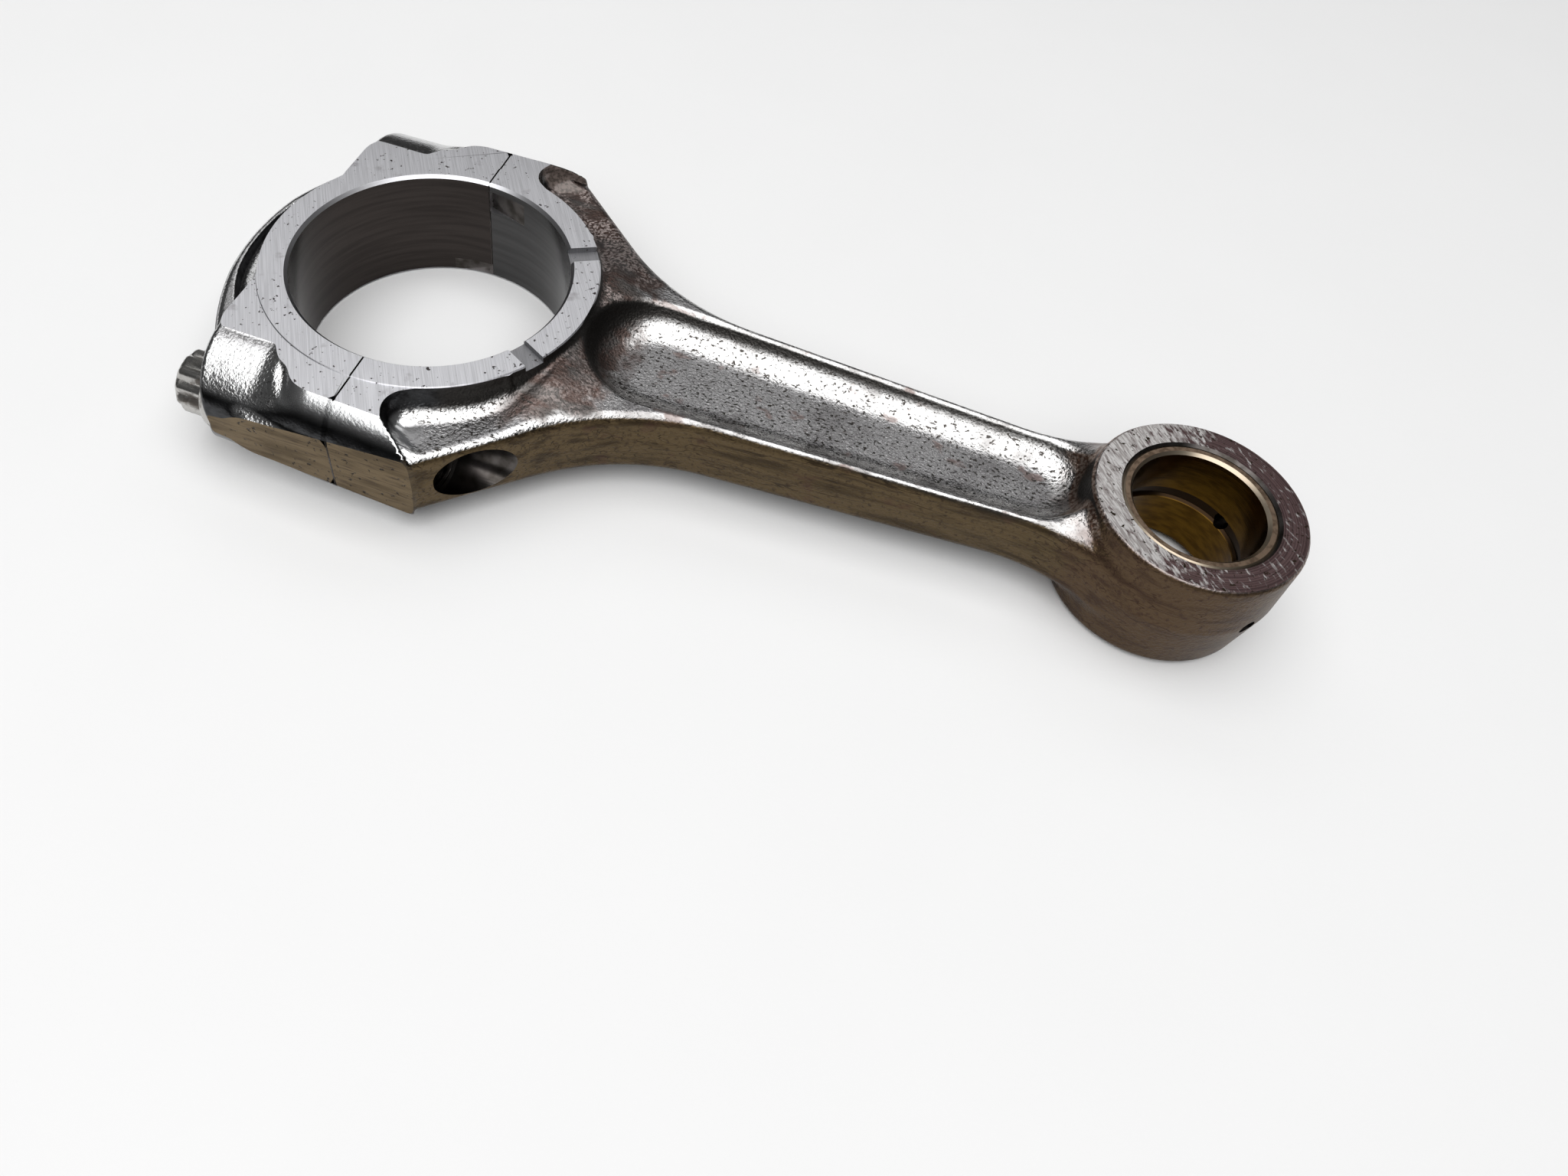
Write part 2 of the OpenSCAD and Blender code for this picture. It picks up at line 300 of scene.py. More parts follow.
def shoulder_field(y, z, reach, height):
    """Round shoulder around a bolt: an ellipse about the bolt's line, no limit towards the bore."""
    across = np.maximum(y - SHOULDER_Y, 0) / reach
    up = z / height
    size = np.sqrt(across * across + up * up)
    return (size - 1) * height


def pocket_field(x, y, z):
    """Long round-ended trough in one face of the beam."""
    to_middle = np.hypot(x - np.clip(x, *POCKET_X), y)
    flat = np.maximum(to_middle - np.interp(x, POCKET_X, FLOOR_R), 0)
    below = np.maximum(WEB_HALF + POCKET_R - z, 0)
    return np.hypot(flat, below) - POCKET_R


def scoop_edge(x, y, z, ring):
    """Edge of the machined shoulder face above the scoop: two straight legs with a round corner."""
    inner = line_field(x, y, *SCOOP_INNER_LEG)
    outer = -line_field(x, y, *SCOOP_OUTER_LEG)
    legs = rounded_union(inner, outer, SCOOP_CORNER_R, SCOOP_LEG_COSINE)
    return np.minimum(legs, ring + 0.02) - STEEP_DRAFT * np.maximum(10 - z, 0)


def foot_radius(x, y):
    """Radius at the foot of the raised shoulder: largest near the bolts, almost sharp at the edge."""
    inland = 0.8 + 2.0 * fade(x, 27, 21)
    return 0.3 + inland * fade(y, 35.5, 33.5)


def rod_field(x, y, z):
    """The rod's forging before machining."""
    y = np.abs(y)
    z = np.abs(z)
    plan = rod_plan(x, y)
    hidden_in_eye = 2.0 * fade(x, EYE_X - 10, EYE_X - 2)
    wall = plan + FORGING_DRAFT * z + hidden_in_eye
    flat = y - HALF_SPAN - SIDE_SPARE
    plate = rounded_overlap(wall, z - top_height(x, y, plan), RIM_R)
    plate = np.maximum(plate, flat)

    ring = np.hypot(x, y) - THRUST_R - RING_SPARE
    block = np.maximum(np.minimum(ring, x - FACE_END_X), z - RAW_H)
    reach = SHOULDER_REACH + SHOULDER_FLARE * x
    block = np.maximum(block, shoulder_field(y, z, reach, SHOULDER_H))
    block = rounded_overlap(block, np.maximum(wall, flat), 0.6)
    block = rounded_overlap(block, scoop_edge(x, y, z, ring), 0.4)
    body = rounded_union(plate, block, foot_radius(x, y))
    body = carve(body, pocket_field(x, y, z), 0.8)

    eye_wall = np.hypot(x - EYE_X, y) - EYE_R + EYE_DRAFT * z
    eye = rounded_overlap(eye_wall, z - EYE_H - EYE_FACE_SPARE, 1.1)
    body = rounded_union(body, eye, 0.9)
    return np.maximum(body, -PARTING_SPARE - x)


def cap_shoulder(u, y, z):
    """Round shoulder of the cap, lower towards the bolt head and drawn in at a waist."""
    height = SHOULDER_H + (BOSS_H - SHOULDER_H) * fade(u, 4, 14)
    reach = SHOULDER_REACH - BOSS_TAPER * np.clip(u / -SEAT_X, 0, 1)
    across = line_field(u, y, *WAIST_LINE) / WAIST_WIDTH
    waist = np.exp(-across ** 2) * fade(y, 27, 30.5) * fade(z, 7.3, 9.7)
    return shoulder_field(y, z, reach, height) + WAIST_DEPTH * waist


def crown_rib(u, y, z):
    """Rib around the back of the cap, lower towards the bolts."""
    crown = np.hypot(u + CROWN_CENTRE_X, y) - CROWN_ARC_R - STEEP_DRAFT * np.maximum(6 - z, 0)
    height = RIB_H - RIB_FALL * np.maximum(y - 10, 0)
    return rounded_overlap(crown, z - height, 1.4)


def cap_channel(u, y, z):
    """Channel between the thrust ring and the rib, round at its floor and its ends."""
    past_end = np.maximum(np.arctan2(y, u) - CHANNEL_ANGLE, 0) * CHANNEL_ARC_R
    across = np.hypot(u, y) - CHANNEL_ARC_R
    below = np.maximum(CHANNEL_AXIS_H - z, 0)
    return np.sqrt(across ** 2 + below ** 2 + past_end ** 2) - CHANNEL_R


def cap_field(x, y, z):
    """The cap's forging before machining."""
    u = -x
    y = np.abs(y)
    z = np.abs(z)
    shoulder = cap_shoulder(u, y, z)
    boss = rounded_overlap(shoulder, u + SEAT_X - SEAT_SPARE - BOSS_SLOPE * z, 1.2)
    ear = rounded_overlap(u - EAR_X, y - EAR_Y, 2.0)
    ear = rounded_overlap(ear, shoulder, 0.5)
    ring = np.maximum(np.hypot(u, y) - THRUST_R - RING_SPARE, z - RAW_H)
    body = rounded_union(rounded_union(boss, ear, 1.5), ring, 1.0)
    body = rounded_union(body, np.maximum(crown_rib(u, y, z), shoulder), 1.6)
    body = carve(body, cap_channel(u, y, z), 0.4)
    body = np.maximum(body, np.maximum(y - HALF_SPAN - SIDE_SPARE, z - RAW_H))
    return np.maximum(body, -PARTING_SPARE - u)


# ------------------------ mesh from a field

def sample_field(field, x, y, z):
    """The field on a grid that is symmetric about Y = 0 and Z = 0; y and z start at 0."""
    grid = np.meshgrid(x, y, z, indexing="ij")
    quarter = field(*grid)
    half = np.concatenate([quarter[:, :0:-1], quarter], axis=1)
    return np.concatenate([half[:, :, :0:-1], half], axis=2)


def cut_cells(inside):
    """Cells of the grid that the surface passes through."""
    cells = np.array(inside.shape) - 1
    count = np.zeros(cells, np.int8)
    for c in CORNERS:
        count += inside[c[0]:c[0] + cells[0], c[1]:c[1] + cells[1], c[2]:c[2] + cells[2]]
    return (count > 0) & (count < 8)


def cell_points(values, where, low, step):
    """A point in each cut cell: the middle of the places where its edges cross the surface."""
    total = np.zeros((len(where), 3))
    weight = np.zeros(len(where))
    for axis in range(3):
        for c in CORNERS:
            if c[axis]:
                continue
            a = values[tuple((where + c).T)]
            b = values[tuple((where + c + STEPS[axis]).T)]
            crossing = (a < 0) != (b < 0)
            place = (where + c).astype(float)
            place[:, axis] += a / np.where(crossing, a - b, 1)
            total[crossing] += place[crossing]
            weight[crossing] += 1
    return np.array(low) + step * total / weight[:, None]


def cell_quads(inside, number):
    """A quad around each grid edge that crosses the surface, through the four cells beside it."""
    quads = []
    for axis in range(3):
        first = inside[tuple(slice(0, -1) if n == axis else slice(None) for n in range(3))]
        second = inside[tuple(slice(1, None) if n == axis else slice(None) for n in range(3))]
        side_1 = STEPS[(axis + 1) % 3]
        side_2 = STEPS[(axis + 2) % 3]
        for inward, outward, flip in ((first, second, False), (second, first, True)):
            edges = np.argwhere(inward & ~outward)
            ring = [edges - side_1 - side_2, edges - side_2, edges, edges - side_1]
            ring = ring[::-1] if flip else ring
            quads.append(np.stack([number[tuple(r.T)] for r in ring], axis=1))
    return np.concatenate(quads)


def surface_net(values, low, step):
    """Points and quads of the surface where the sampled field is zero."""
    inside = values < 0
    cut = cut_cells(inside)
    number = np.full(cut.shape, -1, np.int64)
    number[cut] = np.arange(np.count_nonzero(cut))
    return cell_points(values, np.argwhere(cut), low, step), cell_quads(inside, number)


def gradient(field, points, reach=0.02):
    """Unit normals and slope of the field at the points."""
    columns = []
    for offset in np.eye(3) * reach:
        ahead = field(*(points + offset).T)
        behind = field(*(points - offset).T)
        columns.append((ahead - behind) / (2 * reach))
    slope = np.stack(columns, axis=1)
    size = np.maximum(np.linalg.norm(slope, axis=1), 1e-6)
    return slope / size[:, None], size


def settle(field, points, passes):
    """Moves the points onto the field's surface, by short steps."""
    longest = 0.25
    for _ in range(passes):
        normal, slope = gradient(field, points)
        shift = np.clip(field(*points.T) / slope, -longest, longest)
        points = points - normal * shift[:, None]
    return points


def relax(points, quads):
    """Evens out the spacing of the points."""
    total = np.zeros_like(points)
    weight = np.zeros(len(points))
    for n in range(4):
        a = quads[:, n]
        b = quads[:, (n + 1) % 4]
        for near, far in ((a, b), (b, a)):
            np.add.at(total, near, points[far])
            np.add.at(weight, near, 1)
    return points * 0.4 + total / weight[:, None] * 0.6


def make_object(name, points, faces, material):
    """A mesh object from points in millimetres."""
    mesh = bpy.data.meshes.new(name)
    mesh.from_pydata((np.asarray(points, float) * MM).tolist(), [], [list(map(int, f)) for f in faces])
    mesh.update()
    mesh.materials.append(material)
    obj = bpy.data.objects.new(name, mesh)
    scene.collection.objects.link(obj)
    return obj


def forging(name, field, low_x, high_x):
    """The forged object for a field's surface between two places along X."""
    limits = ((low_x, high_x), (0, GRID_HALF_Y), (0, GRID_HALF_Z))
    x, y, z = (np.arange(low, high + GRID_STEP, GRID_STEP) for low, high in limits)
    points, quads = surface_net(sample_field(field, x, y, z), (x[0], -y[-1], -z[-1]), GRID_STEP)
    for _ in range(2):
        points = settle(field, relax(points, quads), 2)
    return make_object(name, settle(field, points, 3), quads, forged)


# ------------------------ materials

class Shade:
    """Builds the nodes of one metal. Places are the object's own, in millimetres."""

    def __init__(self, name):
        self.material = bpy.data.materials.new(name)
        self.material.use_nodes = True
        self.nodes = self.material.node_tree.nodes
        self.shader = self.nodes["Principled BSDF"]
        self.shader.inputs["Metallic"].default_value = 1.0
        coordinates = self.nodes.new("ShaderNodeTexCoord")
        self.place = self.vector("MULTIPLY", coordinates.outputs["Object"], (1 / MM, 1 / MM, 1 / MM))
        self.x, self.y, self.z = self.split(self.place)
        normal = self.split(coordinates.outputs["Normal"])
        self.level = self.math("ABSOLUTE", normal[2])
        self.to_back = normal[1]

    def make(self, kind, *values, **settings):
        """A node with its settings, and its inputs linked or set in order."""
        node = self.nodes.new("ShaderNode" + kind)
        for key, value in settings.items():
            setattr(node, key, value)
        for socket, value in zip(node.inputs, values):
            self.feed(socket, value)
        return node

    def feed(self, socket, value):
        """Links a socket to another one, or sets its value."""
        if isinstance(value, bpy.types.NodeSocket):
            self.material.node_tree.links.new(value, socket)
        else:
            socket.default_value = value

    def math(self, operation, *values):
        return self.make("Math", *values, operation=operation).outputs[0]

    def times(self, first, *others):
        """Product of two or more values."""
        for other in others:
            first = self.math("MULTIPLY", first, other)
        return first

    def plus(self, first, second):
        return self.math("ADD", first, second)

    def minus(self, first, second):
        return self.math("SUBTRACT", first, second)

    def larger(self, first, second):
        return self.math("MAXIMUM", first, second)

    def vector(self, operation, *values):
        return self.make("VectorMath", *values, operation=operation).outputs[0]

    def split(self, value):
        return self.make("SeparateXYZ", value).outputs

    def noise(self, size, detail=2, stretch=(1, 1, 1), turn=0.0, place=None):
        """Noise with features of a size in mm, stretched along axes turned about Z."""
        turned = self.make("VectorRotate", place or self.place, rotation_type="Z_AXIS")
        turned.inputs["Angle"].default_value = turn
        scaled = self.vector("DIVIDE", turned.outputs[0], tuple(size * s for s in stretch))
        fourth_place, scale = 0.0, 1.0
        return self.make("TexNoise", scaled, fourth_place, scale, detail).outputs[0]

    def ramp(self, value, low, high, to_low=0.0, to_high=1.0):
        """Smooth step of a value between two limits."""
        values = (value, low, high, to_low, to_high)
        return self.make("MapRange", *values, interpolation_type="SMOOTHSTEP").outputs[0]

    def mix(self, share, first, second):
        """Colour between two colours."""
        node = self.make("Mix", data_type="RGBA")
        for index, value in ((0, share), (6, first), (7, second)):
            self.feed(node.inputs[index], (*value, 1) if isinstance(value, tuple) else value)
        return node.outputs[2]

    def blend(self, share, first, second):
        """Number between two numbers."""
        node = self.make("Mix", share)
        self.feed(node.inputs[2], first)
        self.feed(node.inputs[3], second)
        return node.outputs[0]

    def radius(self, centre_x):
        """Distance from the Z line at centre_x."""
        offset = self.minus(self.x, centre_x)
        return self.math("POWER", self.plus(self.times(offset, offset), self.times(self.y, self.y)), 0.5)

    def bump(self, height, depth_mm, below=None):
        """Bump of a height between 0 and 1, depth_mm deep, on top of another bump."""
        node = self.make("Bump")
        node.inputs["Strength"].default_value = 1.0
        node.inputs["Distance"].default_value = depth_mm * MM
        self.feed(node.inputs["Height"], height)
        if below:
            self.feed(node.inputs["Normal"], below)
        return node.outputs[0]

    def finish(self, color, roughness, normal):
        """Sets the shader's colour, roughness and normal, and returns the material."""
        for name, value in (("Base Color", color), ("Roughness", roughness), ("Normal", normal)):
            self.feed(self.shader.inputs[name], value)
        return self.material


# Colours of the forgings' tops
STEEL = (0.60, 0.595, 0.59)
DARK_STEEL = (0.25, 0.24, 0.235)
# Darker grey for faces that lie level: a painted dark reflection
LEVEL_DARK_REFLECTION = (0.24, 0.235, 0.24)
POLISHED_STEEL = (0.66, 0.665, 0.67)
FLECK = (0.055, 0.050, 0.046)
RUST = (0.12, 0.048, 0.030)
CRUST_RED = (0.070, 0.042, 0.034)
CRUST_GREY = (0.085, 0.075, 0.070)
WORN_CRUST = (0.42, 0.35, 0.33)

# Colours of their sides, partly painted light: a painted reflection of a brown table, painted shade and
# painted dark reflection
# Brown of the steep outer faces: a painted reflection of a brown table
REFLECTED_TABLE_BROWN = (0.112, 0.080, 0.043)
DARK_BROWN = (0.030, 0.021, 0.013)
SIDE_SPECK = (0.055, 0.038, 0.024)
SIDE_RUST = (0.075, 0.034, 0.030)
# Dark of the inner walls: painted shade on steep faces within the beam's width and under the thrust ring
SHADED_INNER_WALL = (0.05, 0.047, 0.044)
# Greys of the steep parts of the shoulders: a painted dark reflection
SHOULDER_REFLECTION_GREY = (0.065, 0.066, 0.069)
SHOULDER_REFLECTION_DARK = (0.034, 0.034, 0.035)
BY_EYE_PALE = (0.34, 0.27, 0.23)
BY_EYE_DARK = (0.12, 0.07, 0.05)
# Oxide brown of the far scoop's wall that faces -Y, made light as painted light
SCOOP_LIT_OXIDE = (0.17, 0.135, 0.12)
SCOOP_DARK = (0.075, 0.06, 0.052)

SCRATCH_TURN = -0.55


def forged_shade():
    """A shade with the forged skin's noises, and masks from 0 to 1 for the places its looks depend on."""
    s = Shade("forged")
    s.flecks = s.noise(0.5, 4, (1.3, 1, 1))
    s.clouds = s.noise(8, 5)
    s.streaks = s.noise(2.6, 6, (5, 1, 0.5))
    s.ragged = s.times(s.noise(2.5, 6), 12)
    s.offset = s.math("ABSOLUTE", s.y)
    s.across_beam = s.math("MULTIPLY_ADD", s.x, 0.044, s.offset)
    mark_shoulders(s)
    mark_scoops(s)
    mark_rust(s)
    return s


def mark_shoulders(s):
    """Polished shoulders and bolt bosses, and what is steep enough to be a side."""
    shoulders = s.times(s.ramp(s.offset, 27, 29.5), s.ramp(s.x, KNEE_X + 1, KNEE_X - 2))
    spread = s.blend(shoulders, s.times(s.flecks, 0.2), 0.15)
    s.steep = s.ramp(s.plus(s.level, spread), 0.88, 0.70)
    s.polished = s.times(shoulders, s.larger(s.steep, s.ramp(s.x, -10, -8)))
    boss = s.times(s.ramp(s.x, -9, -11), 0.65)
    s.clean = s.larger(s.polished, boss)
    s.rough = s.minus(1.0, s.times(s.clean, 0.85))


def mark_scoops(s):
    """Both scoops, and the crusted strip between the thrust ring and the beam."""
    s.near_scoop = s.times(s.ramp(s.x, 32, 26), s.ramp(s.y, -16, -18))
    far_side = s.ramp(s.plus(s.y, s.ragged), 21, 25)
    s.far_scoop = s.times(far_side, s.ramp(s.x, 3, 5), s.ramp(s.x, 48, 40))
    # The far scoop's wall that faces -Y: real oxide, with its lighter colour painted light.
    s.scoop_wall = s.times(s.far_scoop, s.ramp(s.to_back, -0.05, -0.35))
    lane = s.plus(s.math("MULTIPLY_ADD", s.x, 0.55, s.offset), s.times(s.ragged, 0.5))
    strip = s.times(s.ramp(lane, 40, 37), s.ramp(s.x, 18, 24))
    strip = s.times(strip, s.ramp(s.plus(s.x, s.ragged), 43, 38))
    s.crusted = s.larger(strip, s.far_scoop)


def mark_rust(s):
    """Rust around the eye and in spots on the beam."""
    near_eye = s.ramp(s.plus(s.x, s.ragged), EYE_X - 14, EYE_X - 6)
    spots = s.ramp(s.noise(3.2, 6, (1.5, 1, 1)), 0.60, 0.69)
    spots = s.times(spots, s.ramp(s.x, 24, 34), 0.7)
    s.rusty = s.larger(s.times(near_eye, 0.75), spots)


def crust_color(s):
    """Colour of the crusted strip: red-brown and grey, with pale worn grains on the far side."""
    grains = s.times(s.ramp(s.noise(0.5, 4), 0.46, 0.56), s.ramp(s.noise(7, 3), 0.42, 0.56))
    grains = s.times(grains, s.ramp(s.y, 0, 8, 0.3, 1.0))
    base = s.mix(s.ramp(s.streaks, 0.4, 0.6), CRUST_RED, CRUST_GREY)
    return s.mix(grains, base, WORN_CRUST)


def top_color(s):
    """Colour of what faces up or down: bright steel with clouds, crust, rust and dark flecks, and a painted
    dark reflection on faces that lie level.
    """
    dull = s.times(s.ramp(s.clouds, 0.45, 0.68), s.ramp(s.x, 24, 36))
    color = s.mix(dull, STEEL, DARK_STEEL)
    color = s.mix(s.clean, color, POLISHED_STEEL)
    # Faces that lie level turn darker: a painted dark reflection.
    color = s.mix(s.ramp(s.level, 0.95, 0.995, 0.0, 0.75), color, LEVEL_DARK_REFLECTION)
    color = s.mix(s.times(s.crusted, 0.95), color, crust_color(s))
    color = s.mix(s.times(s.rusty, 0.75), color, RUST)
    fleck = s.ramp(s.plus(s.flecks, s.times(s.clouds, 0.12)), 0.63, 0.69)
    amount = s.larger(s.ramp(s.across_beam, 12.2, 12.8, 1.0, 0.35), s.near_scoop)
    return s.mix(s.times(fleck, amount, s.rough), color, FLECK)


def side_color_with_painted_light(s):
    """Colour of steep faces, mostly painted light: streaked brown outside as a painted reflection of a brown
    table, dark inside as painted shade, grey shoulders as a painted dark reflection.
    """
    seams = s.math("ABSOLUTE", s.minus(s.noise(1.7, 2, (16, 1, 1)), 0.5))
    # The streaked brown is a painted reflection of a brown table.
    color = s.mix(s.ramp(s.streaks, 0.44, 0.70, 0.0, 0.75), REFLECTED_TABLE_BROWN, DARK_BROWN)
    color = s.mix(s.ramp(seams, 0.014, 0.004, 0.0, 0.8), color, DARK_BROWN)
    color = s.mix(s.ramp(s.noise(0.7, 3), 0.5, 0.75), color, SIDE_SPECK)
    color = s.mix(s.times(s.rusty, 0.4), color, SIDE_RUST)
    outside = s.larger(s.ramp(s.across_beam, 13.5, 14.1), s.ramp(s.x, EYE_X - 15, EYE_X - 13))
    # Steep faces within the beam's width, and those close under the thrust ring, take the inner wall's
    # painted shade.
    color = s.mix(s.times(outside, s.ramp(s.radius(0), 29.5, 31)), SHADED_INNER_WALL, color)

    by_eye = s.times(s.ramp(s.x, EYE_X - 20, EYE_X - 17), s.ramp(s.level, 0.12, 0.35))
    by_eye = s.times(by_eye, s.ramp(s.offset, 11, 8))
    color = s.mix(by_eye, color, s.mix(s.ramp(s.flecks, 0.4, 0.6), BY_EYE_PALE, BY_EYE_DARK))
    # The shoulders' dark greys are a painted dark reflection.
    shoulder_dark_reflection = s.mix(s.ramp(s.noise(1.5, 5, (2, 1, 1)), 0.4, 0.65), SHOULDER_REFLECTION_GREY, SHOULDER_REFLECTION_DARK)
    return s.mix(s.ramp(s.x, KNEE_X - 2, KNEE_X + 1), shoulder_dark_reflection, color)


def forged_steel():
    """Forged and peened steel: bright flecked tops, brown sides painted as a reflected brown table, grey
    shoulders painted as dark reflection, rust around the bores.
    """
    s = forged_shade()
    # Oxide brown for the far scoop's wall facing -Y, lightened and made less metallic as painted light
    scoop = s.mix(s.ramp(s.flecks, 0.4, 0.65), SCOOP_LIT_OXIDE, SCOOP_DARK)
    # Steep faces take the side colours, which are painted reflection and painted shade.
    color = s.mix(s.scoop_wall, s.mix(s.steep, top_color(s), side_color_with_painted_light(s)), scoop)
    s.feed(s.shader.inputs["Metallic"], s.minus(1.0, s.times(s.scoop_wall, 0.85)))
    roughness = s.blend(s.larger(s.rusty, s.crusted), s.blend(s.steep, 0.17, 0.40), 0.42)
    roughness = s.blend(s.polished, roughness, 0.19)
    grain = s.ramp(s.noise(0.45, 2), 0.3, 0.7)
    peened = s.bump(s.times(grain, s.rough), 0.042)
    uneven = s.bump(s.times(s.noise(2.4, 2), s.rough), 0.03, peened)
    return s.finish(color, roughness, uneven)


def cool_grey(tone):
    """A grey with a little blue in it."""
    return tone, tone, 1.04 * tone


def machined_steel(name, roughness, shade):
    """Flat machined faces: pale, scratched one way, with dark specks and stains. shade darkens the metal,
    which the grooves and slots use as painted shade.
    """
    s = Shade(name)
    specks = s.ramp(s.plus(s.noise(0.75, 3), s.times(s.noise(6, 2), 0.2)), 0.76, 0.80)
    stains = s.ramp(s.noise(5, 5), 0.62, 0.72)
    lines = s.ramp(s.noise(0.18, 3, (1, 60, 60), SCRATCH_TURN), 0.35, 0.65)
    color = s.mix(lines, cool_grey(0.72 * shade), cool_grey(0.58 * shade))
    color = s.mix(s.times(stains, 0.5), color, (0.27, 0.25, 0.26))
    color = s.mix(specks, color, (0.07, 0.06, 0.06))
    roughness = s.blend(specks, s.blend(stains, roughness, roughness + 0.1), 0.7)
    fine = s.noise(0.12, 3, (1, 60, 60), SCRATCH_TURN)
    across = s.noise(0.2, 2, (1, 40, 40), SCRATCH_TURN + 0.5)
    return s.finish(color, roughness, s.bump(across, 0.007, s.bump(fine, 0.014)))


def reflected_brown_side_steel():
    """Machined side flats, brown as a painted reflection of a brown table: streaks, scratches and dark
    specks.
    """
    s = Shade("side")
    streaks = s.ramp(s.noise(2.2, 5, (4, 1, 0.7)), 0.42, 0.66)
    scratches = s.ramp(s.noise(0.3, 3, (14, 1, 1)), 0.5, 0.7)
    specks = s.ramp(s.noise(0.8, 4), 0.62, 0.70)
    color = s.mix(streaks, (0.160, 0.116, 0.064), (0.115, 0.083, 0.046))
    color = s.mix(scratches, color, (0.075, 0.052, 0.032))
    color = s.mix(specks, color, DARK_BROWN)
    pitted = s.bump(specks, -0.05, s.bump(s.noise(0.3, 2, (12, 1, 1)), 0.012))
    return s.finish(color, s.blend(streaks, 0.32, 0.48), pitted)


def bored_steel():
    """Honed dark bore with fine marks around it, browner in the cap's half, and its bright chamfers."""
    s = Shade("bored")
    bands = s.ramp(s.noise(0.9, 5, (20, 20, 1)), 0.35, 0.7)
    cap_wall = s.mix(bands, (0.046, 0.039, 0.036), (0.033, 0.028, 0.026))
    rod_wall = s.mix(bands, (0.070, 0.069, 0.069), (0.055, 0.054, 0.054))
    wall = s.mix(s.ramp(s.x, -0.1, 0.1), cap_wall, rod_wall)
    chamfer = s.ramp(s.level, 0.25, 0.45)
    color = s.mix(chamfer, wall, (0.55, 0.55, 0.57))
    honing = s.noise(0.35, 3, (60, 60, 1))
    return s.finish(color, s.blend(chamfer, 0.2, 0.3), s.bump(honing, 0.008))


def hole_steel():
    """Drilled surfaces: dark steel with tool marks."""
    s = Shade("hole")
    marks = s.noise(0.4, 2, (0.5, 6, 6))
    color = s.mix(s.ramp(s.noise(2.5, 3), 0.35, 0.7), (0.11, 0.10, 0.095), (0.04, 0.035, 0.03))
    return s.finish(color, 0.26, s.bump(marks, 0.001))


def eye_face_steel():
    """Turned face of the eye: silvery and speckled towards the beam, purple-brown beyond."""
    s = Shade("eye_face")
    grain_turn = 0.9
    around = s.make("CombineXYZ", s.radius(EYE_X), 0, 0).outputs[0]
    marks = s.noise(0.35, 3, place=around)
    flakes = s.noise(0.6, 5, (2.6, 1, 1), grain_turn)
    ragged = s.plus(s.x, s.times(s.noise(5, 5), 14))
    beyond = s.ramp(ragged, EYE_X - 4, EYE_X + 13, -0.12, 0.16)
    bare = s.ramp(s.minus(flakes, beyond), 0.40, 0.58)
    brown = s.mix(s.ramp(marks, 0.4, 0.6), (0.15, 0.098, 0.098), (0.075, 0.048, 0.048))
    strokes = s.ramp(s.noise(0.25, 4, (7, 1, 1), grain_turn), 0.38, 0.62)
    brushed = s.mix(strokes, (0.70, 0.68, 0.67), (0.38, 0.35, 0.34))
    color = s.mix(bare, brown, brushed)
    color = s.mix(s.ramp(s.noise(0.7, 3), 0.62, 0.68), color, DARK_BROWN)
    turned = s.bump(marks, 0.025, s.bump(flakes, 0.03))
    return s.finish(color, s.blend(bare, 0.42, 0.3), turned)


def bronze():
    """Worn bronze: honey-coloured bore with a dark oil groove, pale chamfers, brown ends."""
    s = Shade("bronze")
    height = s.math("ABSOLUTE", s.z)
    bore = s.mix(s.ramp(s.noise(3, 5, (1, 1, 0.3)), 0.35, 0.7), (0.120, 0.064, 0.009), (0.062, 0.031, 0.005))
    bore = s.mix(s.ramp(height, 1.25, 1.05), bore, (0.022, 0.013, 0.007))
    end = s.mix(s.ramp(s.noise(0.8, 4), 0.4, 0.65), (0.21, 0.150, 0.105), (0.11, 0.075, 0.050))
    rim = s.mix(s.ramp(s.level, 0.85, 0.95), (0.50, 0.42, 0.32), end)
    edge = s.times(s.ramp(s.level, 0.3, 0.5), s.ramp(height, BUSH_H - 0.8, BUSH_H - 0.5))
    rings = s.noise(0.3, 2, (50, 50, 1))
    return s.finish(s.mix(edge, bore, rim), s.blend(edge, 0.22, 0.3), s.bump(rings, 0.01))


def bolt_steel():
    """Plain bolt steel with rolled marks and light scuffs, the head oily in its roots."""
    s = Shade("bolt")
    scuffs = s.noise(0.5, 4, (3, 1, 1))
    stains = s.ramp(s.noise(2.5, 5), 0.5, 0.66)
    stained = s.mix(s.ramp(s.x, SEAT_X - 0.5, SEAT_X), (0.16, 0.145, 0.13), (0.36, 0.35, 0.335))
    color = s.mix(stains, (0.50, 0.49, 0.47), stained)
    return s.finish(color, s.blend(stains, 0.24, 0.42), s.bump(scuffs, 0.03))


def dowel_steel():
    """Ground dowel steel."""
    s = Shade("dowel")
    grinding = s.noise(0.25, 2, (1, 40, 40))
    color = s.mix(s.ramp(s.noise(2, 4), 0.45, 0.65), (0.56, 0.55, 0.54), (0.36, 0.34, 0.33))
    return s.finish(color, 0.28, s.bump(grinding, 0.01))


forged = forged_steel()
machined = machined_steel("machined", 0.36, 1.0)
# The grooves and oil slots get the machined steel darkened to 0.42: painted shade in these recesses.
shaded_groove_metal = machined_steel("groove", 0.55, 0.42)
reflected_brown_side_flat = reflected_brown_side_steel()
bored = bored_steel()
hole = hole_steel()
eye_face = eye_face_steel()
bolt_metal = bolt_steel()
dowel_metal = dowel_steel()
bush_metal = bronze()


# ------------------------ cutting tools

